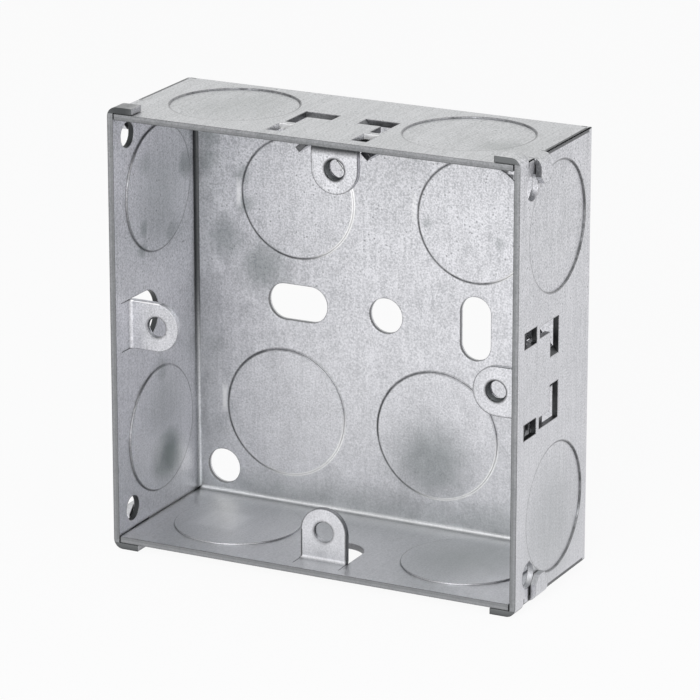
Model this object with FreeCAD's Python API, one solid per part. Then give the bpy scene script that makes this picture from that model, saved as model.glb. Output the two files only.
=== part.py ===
"""One-gang flush back box, pressed and folded from galvanised steel sheet.

Millimetres. +X right, +Z up, the mouth opens towards -Y, and the origin is the centre of the
back plate's rear face. Each wall is drawn in its own flat frame: u runs along the wall, v is the
depth behind the front rim and w is the distance inwards from the wall's outer face.
"""
import FreeCAD, Part
import math
import os

from FreeCAD import Vector

# Folded box
width = 72.0
height = 72.0
depth = 28.0
sheet = 1.0
fold_radius = 0.6
seam_gap = 0.2
cut_clearance = 0.15
punch_overrun = 1.0
fusion_overlap = 1.0

# Corner tabs: the side walls lap over the top and bottom walls, which lap over the side walls behind
tab_fold_radius = 1.6
tab_gap = 0.1
front_tab_depth = 3.2
front_tab_length = 4.4
lap_tab_start = 5.4
lap_tab_depth = 4.4
lap_tab_length = 4.2
lap_tab_clip = 1.3
corner_hole_diameter = 4.2
corner_hole_depth = 4.6
corner_hole_inset = 4.5

# Knock-outs: discs sheared part of the way through the sheet
shear_step = 0.25
shear_root = 0.5
wall_knockout_diameter = 21.0
wall_knockout_depth = 14.3
level_wall_knockout_offset = 20.7
left_wall_knockout_offset = 20.5
right_wall_knockout_offset = 23.0
upper_knockout_diameter = 20.4
upper_knockout_offset = 16.0
upper_knockout_rise = 17.9
lower_knockout_diameter = 21.6
lower_left_knockout_offset = 18.3
lower_right_knockout_offset = 9.4
lower_knockout_drop = 19.1

# Fixing holes in the back plate
slot_offset = 16.1
level_slot_length = 10.9
level_slot_width = 6.2
upright_slot_length = 10.8
upright_slot_width = 5.5
fixing_hole_diameter = 6.0
corner_fixing_hole_offset = 30.1
corner_fixing_hole_drop = 30.3

# Accessory lugs
lug_hole_inset = 5.85
lug_hole_diameter = 3.5
lug_width = 8.1
lug_reach = 9.8
lug_setback = 4.6
fixed_lug_bend_radius = 0.6
fixed_lug_relief_start = 1.8
relief_slit = 0.1

# Sliding lugs and the guides lanced inwards from the top and right walls
slide_travel = 2.0
stop_clearance = 0.2
slide_clearance = 0.15
sliding_lug_bend_radius = 0.8
collar_diameter = 5.2
collar_depth = 1.2
foot_start = 7.1
foot_end = 11.8
foot_half_width = 7.8
stop_tab_width = 2.35
stop_tab_hinge = 2.3
stop_tab_press = 1.7
hook_hinge_offset = 2.2
hook_length = 6.0
hook_angle = 42.0
hook_front = 12.2
hook_width = 2.9
hook_leg_width = 1.6
hook_leg_start = 8.2

# Where each wall's flat frame goes: turn about Y, then the wall's outer face
WALLS = {
    "bottom": (0.0, Vector(0.0, -depth, -height / 2)),
    "left": (90.0, Vector(-width / 2, -depth, 0.0)),
    "top": (180.0, Vector(0.0, -depth, height / 2)),
    "right": (270.0, Vector(width / 2, -depth, 0.0)),
}


def on_wall(shape, wall):
    """Carries a shape from the flat frame to its wall."""
    turn, corner = WALLS[wall]
    placed = shape.copy()
    placed.rotate(Vector(0, 0, 0), Vector(0, 1, 0), turn)
    placed.translate(corner)
    return placed


def on_back(shape):
    """Carries a shape from the flat frame to the back plate: u to +X, v to +Z, w to -Y."""
    placed = shape.copy()
    placed.rotate(Vector(0, 0, 0), Vector(1, 0, 0), 90.0)
    return placed


def mirrored(shape):
    """The same shape on the other side of the wall's middle."""
    return shape.mirror(Vector(0, 0, 0), Vector(1, 0, 0))


def block(u_low, u_high, v_low, v_high, w_low, w_high):
    """A rectangular piece between two corners."""
    return Part.makeBox(u_high - u_low, v_high - v_low, w_high - w_low, Vector(u_low, v_low, w_low))


def through_hole(u, v, diameter):
    """A round punch through the sheet."""
    tall = sheet + 2 * punch_overrun
    return Part.makeCylinder(diameter / 2, tall, Vector(u, v, -punch_overrun), Vector(0, 0, 1))


def round_ended_slot(u, v, length, slot_width, along_u):
    """A punch with semicircular ends through the sheet."""
    reach = (length - slot_width) / 2
    step_u, step_v = (reach, 0.0) if along_u else (0.0, reach)
    half_u = reach if along_u else slot_width / 2
    half_v = slot_width / 2 if along_u else reach
    middle = block(u - half_u, u + half_u, v - half_v, v + half_v, -punch_overrun, sheet + punch_overrun)
    ends = [through_hole(u + side * step_u, v + side * step_v, slot_width) for side in (-1, 1)]
    return middle.fuse(ends)


def extruded(points, travel):
    """Extrudes a closed outline: a pair of points is a line, a triple is an arc through its middle."""
    edges = []
    for stretch in points:
        if len(stretch) == 2:
            edges.append(Part.LineSegment(*stretch).toShape())
        else:
            edges.append(Part.Arc(*stretch).toShape())
    return Part.Face(Part.Wire(edges)).extrude(travel)


def polygon(corners, travel):
    """Extrudes a straight-sided outline."""
    return extruded(list(zip(corners, corners[1:] + corners[:1])), travel)


def folded_tray():
    """Back plate and four walls with rounded folds round the back plate."""
    outside = Part.makeBox(width, depth, height, Vector(-width / 2, -depth, -height / 2))
    outside = outside.makeFillet(fold_radius + sheet, edges_at(outside, 0.0))
    inside = Part.makeBox(
        width - 2 * sheet,
        depth - sheet + punch_overrun,
        height - 2 * sheet,
        Vector(-width / 2 + sheet, -depth - punch_overrun, -height / 2 + sheet),
    )
    inside = inside.makeFillet(fold_radius, edges_at(inside, -sheet))
    return outside.cut(inside)


def edges_at(shape, y):
    """The edges that lie in one plane square to Y."""
    return [edge for edge in shape.Edges if all(abs(vertex.Y - y) < 1e-6 for vertex in edge.Vertexes)]


def corner_seams():
    """Open mitred seam along each corner, and the room that the lap tab and the front tab need there."""
    half_gap = seam_gap / 2 * math.sqrt(0.5)
    inner = height / 2 - sheet - punch_overrun
    outer = height / 2 + punch_overrun
    inner_w = sheet + punch_overrun
    outer_w = -punch_overrun
    seam_outline = [
        Vector(inner - half_gap, front_tab_depth, inner_w - half_gap),
        Vector(outer - half_gap, front_tab_depth, outer_w - half_gap),
        Vector(outer + half_gap, front_tab_depth, outer_w + half_gap),
        Vector(inner + half_gap, front_tab_depth, inner_w + half_gap),
    ]
    seam = polygon(seam_outline, Vector(0, depth - sheet - front_tab_depth, 0))
    lap_room = block(
        height / 2 - sheet - seam_gap,
        outer,
        lap_tab_start - cut_clearance,
        lap_tab_start + lap_tab_depth + cut_clearance,
        -punch_overrun,
        sheet,
    )
    stop = width / 2 - sheet - seam_gap
    notch = block(
        stop,
        width / 2 + punch_overrun,
        -punch_overrun,
        front_tab_depth + seam_gap,
        -punch_overrun,
        sheet,
    )
    cuts = []
    side_walls = ("left", "right")
    for shape, walls in ((seam, side_walls), (lap_room, side_walls), (notch, ("top", "bottom"))):
        for wall in walls:
            cuts += [on_wall(shape, wall), on_wall(mirrored(shape), wall)]
    return cuts


def wrapped_tab(half_span, length, v_low, v_high):
    """A tab that leaves a wall at the box's corner and folds flat over the outside of the next wall."""
    inside = half_span + tab_gap
    outside = inside + sheet
    centre_u = outside - tab_fold_radius
    root = centre_u - fusion_overlap
    slant = tab_fold_radius * math.sqrt(0.5)

    def at(u, w):
        return Vector(u, v_low, w)

    fold_mid = at(centre_u + slant, tab_fold_radius - slant)
    outline = [
        (at(root, 0), at(centre_u, 0)),
        (at(centre_u, 0), fold_mid, at(outside, tab_fold_radius)),
        (at(outside, tab_fold_radius), at(outside, length)),
        (at(outside, length), at(inside, length)),
        (at(inside, length), at(inside, sheet)),
        (at(inside, sheet), at(root, sheet)),
        (at(root, sheet), at(root, 0)),
    ]
    return extruded(outline, Vector(0, v_high - v_low, 0))


def tip_edges(tab, length):
    """The two short edges at a lap tab's free end, across the sheet."""
    edges = []
    for edge in tab.Edges:
        at_tip = all(abs(vertex.Z - length) < 1e-6 for vertex in edge.Vertexes)
        if at_tip and abs(edge.tangentAt(edge.FirstParameter).x) > 0.5:
            edges.append(edge)
    return edges


def corner_tabs():
    """Front tabs of the side walls and lap tabs of the top and bottom walls, at all four corners."""
    front_tab = wrapped_tab(height / 2, front_tab_length, 0.0, front_tab_depth)
    lap_end = lap_tab_start + lap_tab_depth
    lap_tab = wrapped_tab(width / 2, lap_tab_length, lap_tab_start, lap_end)
    lap_tab = lap_tab.makeChamfer(lap_tab_clip, tip_edges(lap_tab, lap_tab_length))
    tabs = []
    for shape, walls in ((front_tab, ("left", "right")), (lap_tab, ("top", "bottom"))):
        for wall in walls:
            tabs += [on_wall(shape, wall), on_wall(mirrored(shape), wall)]
    return tabs


def knockout(u, v, diameter):
    """The recess that a disc leaves outside and the boss that it makes inside."""
    radius = diameter / 2
    recess = Part.makeCylinder(radius, punch_overrun + shear_step, Vector(u, v, -punch_overrun))
    boss = Part.makeCylinder(radius, shear_root + shear_step, Vector(u, v, sheet - shear_root))
    return recess, boss


def knockouts():
    """All recesses to cut and all bosses to add."""
    offsets = {
        "bottom": level_wall_knockout_offset,
        "left": left_wall_knockout_offset,
        "top": level_wall_knockout_offset,
        "right": right_wall_knockout_offset,
    }
    recesses, bosses = [], []
    for wall, offset in offsets.items():
        for side in (-1, 1):
            recess, boss = knockout(side * offset, wall_knockout_depth, wall_knockout_diameter)
            recesses.append(on_wall(recess, wall))
            bosses.append(on_wall(boss, wall))
    back_discs = (
        (-upper_knockout_offset, upper_knockout_rise, upper_knockout_diameter),
        (upper_knockout_offset, upper_knockout_rise, upper_knockout_diameter),
        (-lower_left_knockout_offset, -lower_knockout_drop, lower_knockout_diameter),
        (lower_right_knockout_offset, -lower_knockout_drop, lower_knockout_diameter),
    )
    for x, z, diameter in back_discs:
        recess, boss = knockout(x, z, diameter)
        recesses.append(on_back(recess))
        bosses.append(on_back(boss))
    return recesses, bosses


def back_holes():
    """Two slots and two round holes for fixing the box to the wall behind it."""
    return [
        on_back(round_ended_slot(-slot_offset, 0.0, level_slot_length, level_slot_width, True)),
        on_back(round_ended_slot(slot_offset, 0.0, upright_slot_length, upright_slot_width, False)),
        on_back(through_hole(0.0, 0.0, fixing_hole_diameter)),
        on_back(through_hole(-corner_fixing_hole_offset, -corner_fixing_hole_drop, fixing_hole_diameter)),
    ]


def corner_holes():
    """A small round hole in each side wall beside each front corner."""
    cuts = []
    for wall in ("left", "right"):
        for side in (-1, 1):
            u = side * (height / 2 - corner_hole_inset)
            cuts.append(on_wall(through_hole(u, corner_hole_depth, corner_hole_diameter), wall))
    return cuts


def lug_plate(v_face, w_low):
    """The flat of a lug from w_low to its round tip, with its screw hole."""
    tip_radius = lug_width / 2
    tip_w = lug_reach - tip_radius
    plate = block(-lug_width / 2, lug_width / 2, v_face, v_face + sheet, w_low, tip_w)
    tip = Part.makeCylinder(tip_radius, sheet, Vector(0, v_face, tip_w), Vector(0, 1, 0))
    start = Vector(0, v_face - punch_overrun, lug_hole_inset)
    hole = Part.makeCylinder(lug_hole_diameter / 2, sheet + 2 * punch_overrun, start, Vector(0, 1, 0))
    return plate.fuse(tip).removeSplitter().cut(hole)


def fixed_lug():
    """A lug lanced out of its own wall and folded square into the box, with the window that it leaves."""
    bend = fixed_lug_bend_radius
    straight_end = lug_setback - bend
    half = lug_width / 2
    slant = math.sqrt(0.5)
    centre_w = sheet + bend
    outer = bend + sheet

    def at(v, w):
        return Vector(-half, v, w)

    outer_mid = at(straight_end + outer * slant, centre_w - outer * slant)
    inner_mid = at(straight_end + bend * slant, centre_w - bend * slant)
    start = fixed_lug_relief_start - fusion_overlap
    outline = [
        (at(start, 0), at(straight_end, 0)),
        (at(straight_end, 0), outer_mid, at(straight_end + outer, centre_w)),
        (at(straight_end + outer, centre_w), at(straight_end + bend, centre_w)),
        (at(straight_end + bend, centre_w), inner_mid, at(straight_end, sheet)),
        (at(straight_end, sheet), at(start, sheet)),
        (at(start, sheet), at(start, 0)),
    ]
    root = extruded(outline, Vector(lug_width, 0, 0))
    lug = root.fuse(lug_plate(lug_setback, centre_w)).removeSplitter()
    flat_length = (bend + sheet / 2) * math.pi / 2 + lug_reach - centre_w
    window_half = half + relief_slit
    window_end = straight_end + flat_length + relief_slit
    round_centre = window_end - window_half
    opening = block(
        -window_half,
        window_half,
        fixed_lug_relief_start,
        round_centre,
        -punch_overrun,
        sheet + punch_overrun,
    )
    opening = opening.fuse(through_hole(0.0, round_centre, 2 * window_half))
    return lug, opening


def lug_guides():
    """Stop tabs and keeper hooks pressed inwards on both sides of a sliding lug, with their cut-outs."""
    tabs, cuts = [], []
    tab_in = lug_width / 2 + slide_travel + stop_clearance
    tab_out = tab_in + stop_tab_width
    tab_end = foot_start - stop_clearance

    def tab_at(v, w):
        return Vector(tab_in, v, w)

    tab_outline = [
        tab_at(stop_tab_hinge - fusion_overlap, 0),
        tab_at(stop_tab_hinge, 0),
        tab_at(tab_end, stop_tab_press),
        tab_at(tab_end, sheet + stop_tab_press),
        tab_at(stop_tab_hinge, sheet),
        tab_at(stop_tab_hinge - fusion_overlap, sheet),
    ]
    stop_tab = polygon(tab_outline, Vector(stop_tab_width, 0, 0))
    below, above = -punch_overrun, sheet + punch_overrun
    stop_cut = block(
        tab_in - cut_clearance,
        tab_out + cut_clearance,
        stop_tab_hinge,
        tab_end + cut_clearance,
        below,
        above,
    )
    angle = math.radians(hook_angle)
    run, rise = math.cos(angle), math.sin(angle)

    def hook_at(along, lift, v):
        return Vector(hook_hinge_offset + along * run - lift * rise, v, along * rise + lift * run)

    mitre = sheet * math.tan(angle / 2)
    hook_outline = [
        Vector(hook_hinge_offset - fusion_overlap, hook_front, 0),
        Vector(hook_hinge_offset, hook_front, 0),
        hook_at(hook_length, 0, hook_front),
        hook_at(hook_length, sheet, hook_front),
        Vector(hook_hinge_offset - mitre, hook_front, sheet),
        Vector(hook_hinge_offset - fusion_overlap, hook_front, sheet),
    ]
    tongue = polygon(hook_outline, Vector(0, hook_width, 0))
    leg_root = hook_length - hook_leg_width
    leg_outline = [
        hook_at(leg_root, 0, hook_leg_start),
        hook_at(hook_length, 0, hook_leg_start),
        hook_at(hook_length, sheet, hook_leg_start),
        hook_at(leg_root, sheet, hook_leg_start),
    ]
    leg = polygon(leg_outline, Vector(0, hook_front + hook_width - hook_leg_start, 0))
    hook = tongue.fuse(leg).removeSplitter()
    hook_end = hook_hinge_offset + hook_length + cut_clearance
    hook_back = hook_front + hook_width + cut_clearance
    tongue_cut = block(hook_hinge_offset, hook_end, hook_front - cut_clearance, hook_back, below, above)
    leg_cut = block(
        hook_hinge_offset + leg_root - cut_clearance,
        hook_end,
        hook_leg_start - cut_clearance,
        hook_front,
        below,
        above,
    )
    for shape in (stop_tab, hook):
        tabs += [shape, mirrored(shape)]
    for shape in (stop_cut, tongue_cut.fuse(leg_cut)):
        cuts += [shape, mirrored(shape)]
    return tabs, cuts


def drawn_collar():
    """The rim drawn out behind a sliding lug's screw hole, which gives the screw more thread."""
    start = Vector(0, lug_setback + sheet, lug_hole_inset)
    rim = Part.makeCylinder(collar_diameter / 2, collar_depth, start, Vector(0, 1, 0))
    bore = Part.makeCylinder(lug_hole_diameter / 2, collar_depth, start, Vector(0, 1, 0))
    return rim.cut(bore)


def sliding_lug():
    """A separate lug whose wide foot slides along the wall behind the stop tabs and under the hooks."""
    bend = sliding_lug_bend_radius
    seat = sheet + slide_clearance
    outer = bend + sheet
    half = lug_width / 2
    slant = math.sqrt(0.5)
    centre_v = lug_setback + outer
    centre_w = seat + outer

    def at(v, w):
        return Vector(-half, v, w)

    inner_mid = at(centre_v - bend * slant, centre_w - bend * slant)
    outer_mid = at(centre_v - outer * slant, centre_w - outer * slant)
    outline = [
        (at(foot_end, seat), at(foot_end, seat + sheet)),
        (at(foot_end, seat + sheet), at(centre_v, seat + sheet)),
        (at(centre_v, seat + sheet), inner_mid, at(centre_v - bend, centre_w)),
        (at(centre_v - bend, centre_w), at(centre_v - outer, centre_w)),
        (at(centre_v - outer, centre_w), outer_mid, at(centre_v, seat)),
        (at(centre_v, seat), at(foot_end, seat)),
    ]
    neck = extruded(outline, Vector(lug_width, 0, 0))
    foot = block(-foot_half_width, foot_half_width, foot_start, foot_end, seat, seat + sheet)
    return neck.fuse([foot, lug_plate(lug_setback, centre_w), drawn_collar()]).removeSplitter()


def box_body():
    """The whole folded sheet with its knock-outs, fixed lugs, guides and corner tabs."""
    recesses, bosses = knockouts()
    cuts = corner_seams() + recesses + back_holes() + corner_holes()
    adds = bosses + corner_tabs()
    for wall in ("left", "bottom"):
        lug, opening = fixed_lug()
        cuts.append(on_wall(opening, wall))
        adds.append(on_wall(lug, wall))
    guide_tabs, guide_cuts = lug_guides()
    for wall in ("top", "right"):
        cuts += [on_wall(shape, wall) for shape in guide_cuts]
        adds += [on_wall(shape, wall) for shape in guide_tabs]
    return folded_tray().cut(cuts).fuse(adds).removeSplitter()


def main():
    os.makedirs("parts", exist_ok=True)
    resting = Vector(-slide_travel, 0, 0)
    shapes = {"box_body": box_body()}
    for wall in ("top", "right"):
        lug = sliding_lug()
        lug.translate(resting)
        shapes[wall + "_adjustable_lug"] = on_wall(lug, wall)
    for node, shape in shapes.items():
        solids = shape.Solids
        print(node, "solids", len(solids), "volume", round(shape.Volume, 2), "valid", shape.isValid())
        shape.exportStep(os.path.join("parts", node + ".step"))


main()
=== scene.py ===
"""Dresses the folded flush back box in galvanised steel and sets it on a plain pale stage."""
import math

import bmesh
import bpy
from bpy.props import FloatProperty, FloatVectorProperty, PointerProperty
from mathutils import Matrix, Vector


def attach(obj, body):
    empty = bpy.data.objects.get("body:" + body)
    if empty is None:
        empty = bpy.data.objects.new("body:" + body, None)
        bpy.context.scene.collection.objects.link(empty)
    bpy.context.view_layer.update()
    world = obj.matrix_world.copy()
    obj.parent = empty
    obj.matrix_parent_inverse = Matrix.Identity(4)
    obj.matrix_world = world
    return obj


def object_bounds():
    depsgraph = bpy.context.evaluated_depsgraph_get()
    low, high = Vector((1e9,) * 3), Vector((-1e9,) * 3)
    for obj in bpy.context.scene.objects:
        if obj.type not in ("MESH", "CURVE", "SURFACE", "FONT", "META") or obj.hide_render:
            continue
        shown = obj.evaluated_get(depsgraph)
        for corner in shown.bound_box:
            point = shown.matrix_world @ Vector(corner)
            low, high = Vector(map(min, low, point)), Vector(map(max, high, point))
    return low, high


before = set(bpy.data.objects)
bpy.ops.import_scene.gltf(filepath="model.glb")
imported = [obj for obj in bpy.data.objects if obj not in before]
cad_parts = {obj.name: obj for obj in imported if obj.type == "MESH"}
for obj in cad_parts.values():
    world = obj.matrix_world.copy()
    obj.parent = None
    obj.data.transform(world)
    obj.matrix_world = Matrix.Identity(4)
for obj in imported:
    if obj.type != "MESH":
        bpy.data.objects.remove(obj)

bl_info = {
    "name": "Flush back box",
    "version": (1, 0, 0),
    "blender": (4, 5, 0),
    "location": "3D View > Sidebar > Back box",
    "description": "Finishes a one-gang flush back box in galvanised steel and lights it",
    "category": "Object",
}

CAD_BOX = [list(corner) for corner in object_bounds()]
FLOOR_LEVEL = CAD_BOX[0][2]
BOX_WIDTH = CAD_BOX[1][0] - CAD_BOX[0][0]
MM = 0.001


def to_linear(hex_colour):
    """Linear RGB of an sRGB hex colour."""
    parts = [int(hex_colour[start:start + 2], 16) / 255 for start in (0, 2, 4)]
    return tuple(
        part / 12.92 if part <= 0.04045 else ((part + 0.055) / 1.055) ** 2.4 for part in parts)


class SheetFinish(bpy.types.PropertyGroup):
    """Colours and pattern sizes of the galvanised steel, and of its painted shade and highlights."""

    pale: FloatVectorProperty(
        name="Bright zinc", description="Zinc where the coating is clean",
        subtype="COLOR", default=to_linear("E2E2E6"))
    dull: FloatVectorProperty(
        name="Dull zinc", description="Zinc where the coating has dulled",
        subtype="COLOR", default=to_linear("B4B5B9"))
    # Colour of the darker patches, and of the painted shade beside the back plate's folds.
    patch_and_shade: FloatVectorProperty(
        name="Storage stain", description="Dark patches left by handling and storage",
        subtype="COLOR", default=to_linear("6F7878"))
    fleck: FloatVectorProperty(
        name="Dark fleck", description="Small dark specks in the coating",
        subtype="COLOR", default=to_linear("6C6F71"))
    dust: FloatVectorProperty(
        name="Dust", description="Dull film on faces that look up",
        subtype="COLOR", default=to_linear("989D93"))
    bare: FloatVectorProperty(
        name="Sheared steel", description="Bare grey steel on sheared rims and tabs",
        subtype="COLOR", default=to_linear("6C6E6F"))
    # Colour of the painted highlights and painted sheen on cut ends, knock-outs, lips and folds.
    highlight_colour: FloatVectorProperty(
        name="Burnished steel", description="Bright steel where the punch rubbed",
        subtype="COLOR", default=to_linear("FAFAFA"))
    # Colour of the painted shade in folds, slots, gaps, holes, edge and knock-out lines, and threads.
    shade_tone: FloatVectorProperty(
        name="Grime", description="Dirt and oil left in sheared lines, folds and slots",
        subtype="COLOR", default=to_linear("333536"))
    cloud_size: FloatProperty(
        name="Cloud size", description="Width of the soft cloudy patches",
        unit="LENGTH", default=16 * MM)
    mottle_size: FloatProperty(
        name="Mottle size", description="Width of the small mottled patches",
        unit="LENGTH", default=2.2 * MM)
    speckle_size: FloatProperty(
        name="Speckle size", description="Width of the fine speckle",
        unit="LENGTH", default=0.3 * MM)
    fleck_size: FloatProperty(
        name="Fleck spacing", description="Spacing of the small dark specks",
        unit="LENGTH", default=0.8 * MM)
    grain_width: FloatProperty(
        name="Rolling grain width", description="Width of the streaks left by rolling",
        unit="LENGTH", default=0.6 * MM)
    grain_length: FloatProperty(
        name="Rolling grain length", description="Length of the streaks left by rolling",
        unit="LENGTH", default=11 * MM)
    # The dark line along the box's edges is painted shade.
    edge_width: FloatProperty(
        name="Edge width", description="Width of the worn line along the box's sheared edges",
        unit="LENGTH", default=0.26 * MM)
    edge_strength: FloatProperty(
        name="Edge wear", description="How dark the worn line along the box's edges is",
        subtype="FACTOR", default=0.55)
    # The dark line along the sliding lugs' edges is painted shade.
    lug_edge_width: FloatProperty(
        name="Lug edge width", description="Width of the worn line along the sliding lugs' edges",
        unit="LENGTH", default=0.48 * MM)
    lug_edge_strength: FloatProperty(
        name="Lug edge wear", description="How dark the worn line along the sliding lugs' edges is",
        subtype="FACTOR", default=0.85)
    # Reach of the painted shade that ambient occlusion lays in folds and slots.
    shade_reach: FloatProperty(
        name="Cavity reach", description="How far from a fold or slot the grime reaches",
        unit="LENGTH", default=1.6 * MM)
    # The dark line round a knock-out is painted shade.
    line_width: FloatProperty(
        name="Sheared line", description="Width of the dark line round a knock-out",
        unit="LENGTH", default=0.34 * MM)


class KnockoutPlaces(bpy.types.PropertyGroup):
    """Where the knock-outs sit on the walls and on the back plate."""

    wall_radius: FloatProperty(
        name="Wall disc radius", description="Radius of the discs in the walls",
        unit="LENGTH", default=10.5 * MM)
    wall_depth: FloatProperty(
        name="Wall disc depth", description="Wall discs' centres from the back plate's rear face",
        unit="LENGTH", default=13.7 * MM)
    level_offset: FloatProperty(
        name="Top disc offset", description="Top discs' centres from the middle",
        unit="LENGTH", default=20.7 * MM)
    left_offset: FloatProperty(
        name="Left disc offset", description="Left discs' centres from the middle",
        unit="LENGTH", default=20.5 * MM)
    right_offset: FloatProperty(
        name="Right disc offset", description="Right discs' centres from the middle",
        unit="LENGTH", default=23 * MM)
    upper_radius: FloatProperty(
        name="Upper disc radius", description="Radius of the back plate's upper discs",
        unit="LENGTH", default=10.2 * MM)
    upper_offset: FloatProperty(
        name="Upper disc offset", description="Upper discs' centres from the middle",
        unit="LENGTH", default=16 * MM)
    upper_rise: FloatProperty(
        name="Upper disc rise", description="Upper discs' centres above the middle",
        unit="LENGTH", default=17.9 * MM)
    lower_radius: FloatProperty(
        name="Lower disc radius", description="Radius of the back plate's lower discs",
        unit="LENGTH", default=10.8 * MM)
    lower_left: FloatProperty(
        name="Lower left offset", description="Lower left disc's centre from the middle",
        unit="LENGTH", default=18.3 * MM)
    lower_right: FloatProperty(
        name="Lower right offset", description="Lower right disc's centre from the middle",
        unit="LENGTH", default=9.4 * MM)
    lower_drop: FloatProperty(
        name="Lower disc drop", description="Lower discs' centres below the middle",
        unit="LENGTH", default=19.1 * MM)
    wall_plane: FloatProperty(
        name="Wall plane", description="A wall's sheet lies further from the middle than this",
        unit="LENGTH", default=34.4 * MM)
    back_plane: FloatProperty(
        name="Back plane", description="The back plate lies within this of its rear face",
        unit="LENGTH", default=1.6 * MM)


class ThreadSizes(bpy.types.PropertyGroup):
    """The screw thread in the lugs' holes."""

    pitch: FloatProperty(
        name="Pitch", description="Rise of one turn", unit="LENGTH", default=0.6 * MM)
    bore: FloatProperty(
        name="Bore radius", description="Radius of the lugs' holes",
        unit="LENGTH", default=1.75 * MM)
    crest: FloatProperty(
        name="Crest radius", description="Radius at the thread's inner edge",
        unit="LENGTH", default=1.47 * MM)
    screw_offset: FloatProperty(
        name="Screw offset", description="Lug holes' centres from the middle",
        unit="LENGTH", default=30.15 * MM)
    slide: FloatProperty(
        name="Slide at rest", description="How far the sliding lugs rest from mid travel",
        unit="LENGTH", default=2 * MM)
    lug_front: FloatProperty(
        name="Lug face", description="Lugs' front faces from the back plate's rear face",
        unit="LENGTH", default=23.4 * MM)
    sheet: FloatProperty(
        name="Sheet", description="Thickness of a fixed lug", unit="LENGTH", default=1 * MM)
    collar: FloatProperty(
        name="Collar", description="How far a sliding lug's hole is drawn out behind",
        unit="LENGTH", default=1.2 * MM)


class StageSettings(bpy.types.PropertyGroup):
    """Camera, lamps, surroundings and floor."""

    azimuth: FloatProperty(
        name="View azimuth", description="How far to the right the camera stands",
        subtype="ANGLE", default=math.radians(26.8))
    elevation: FloatProperty(
        name="View elevation", description="How far the camera looks down",
        subtype="ANGLE", default=math.radians(17.4))
    distance: FloatProperty(
        name="View distance", description="Camera to the point it looks at",
        unit="LENGTH", default=717 * MM)
    aim: FloatVectorProperty(
        name="Aim", description="The point that the camera looks at",
        unit="LENGTH", default=(-4.8 * MM, -4.4 * MM, -5.5 * MM))
    lens: FloatProperty(
        name="Focal length", description="Focal length of the camera in millimetres",
        default=226.7)
    key_power: FloatProperty(
        name="Key lamp", description="Power of the large lamp in front", unit="POWER", default=1.9)
    fill_power: FloatProperty(
        name="Fill lamp", description="Power of the soft lamp on the right",
        unit="POWER", default=0.5)
    lamp_distance: FloatProperty(
        name="Lamp distance", description="Lamps to the middle of the box",
        unit="LENGTH", default=8 * BOX_WIDTH)
    lamp_side: FloatProperty(
        name="Lamp side", description="Side of each square lamp",
        unit="LENGTH", default=5 * BOX_WIDTH)
    soft_light: FloatProperty(
        name="Soft light", description="Strength of the level light from all round", default=0.6)
    floor_white: FloatProperty(
        name="Floor white", description="How far the floor shows as plain white instead of lit paint",
        subtype="FACTOR", default=0.92)
    floor_width: FloatProperty(
        name="Floor width", description="Side of the pale floor",
        unit="LENGTH", default=30 * BOX_WIDTH)


def add_node(tree, kind, settings=None, **links):
    """Adds a shader node, sets its own values and inputs, and links the named inputs."""
    node = tree.nodes.new(kind)
    for key, value in (settings or {}).items():
        if isinstance(key, str) and hasattr(node, key):
            setattr(node, key, value)
        else:
            node.inputs[key].default_value = value
    for key, socket in links.items():
        numbered = key[0] == "i" and key[1:].isdigit()
        name = int(key[1:]) if numbered else key.replace("_", " ")
        tree.links.new(socket, node.inputs[name])
    return node


def new_material(name):
    """An empty node material with its node tree."""
    material = bpy.data.materials.new(name)
    material.use_nodes = True
    material.node_tree.nodes.clear()
    return material, material.node_tree


def largest(tree, masks):
    """The largest of several masks, each weakened by its own strength."""
    total = None
    for socket, strength in masks:
        part = add_node(
            tree, "ShaderNodeMath", {"operation": "MULTIPLY", 1: strength},
            i0=socket).outputs["Value"]
        if total is None:
            total = part
        else:
            total = add_node(
                tree, "ShaderNodeMath", {"operation": "MAXIMUM"}, i0=total,
                i1=part).outputs["Value"]
    return total


def inside_box(tree, place, low, high, fade):
    """One between two corners in millimetres, nought outside, with a soft border each way."""
    middle = [(first + last) / 2 * MM for first, last in zip(low, high)]
    half = [(last - first) / 2 * MM for first, last in zip(low, high)]
    border = [1 / (width * MM) for width in fade]
    offset = add_node(
        tree, "ShaderNodeVectorMath", {"operation": "SUBTRACT", 1: middle}, i0=place)
    size = add_node(
        tree, "ShaderNodeVectorMath", {"operation": "ABSOLUTE"}, i0=offset.outputs["Vector"])
    beyond = add_node(
        tree, "ShaderNodeVectorMath", {"operation": "SUBTRACT", 1: half},
        i0=size.outputs["Vector"])
    faded = add_node(
        tree, "ShaderNodeVectorMath", {"operation": "MULTIPLY", 1: border},
        i0=beyond.outputs["Vector"])
    parts = add_node(tree, "ShaderNodeSeparateXYZ", Vector=faded.outputs["Vector"])
    flat = add_node(
        tree, "ShaderNodeMath", {"operation": "MAXIMUM"}, i0=parts.outputs["X"],
        i1=parts.outputs["Y"])
    most = add_node(
        tree, "ShaderNodeMath", {"operation": "MAXIMUM"}, i0=flat.outputs["Value"],
        i1=parts.outputs["Z"])
    return add_node(
        tree, "ShaderNodeMapRange",
        {"interpolation_type": "SMOOTHSTEP", "From Min": 0.0, "From Max": 1.0,
         "To Min": 1.0, "To Max": 0.0},
        Value=most.outputs["Value"]).outputs["Result"]


def boxed(tree, place, rows):
    """A mask and its strength for each row of two corners, border and strength."""
    return [(inside_box(tree, place, *box), strength) for *box, strength in rows]


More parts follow.
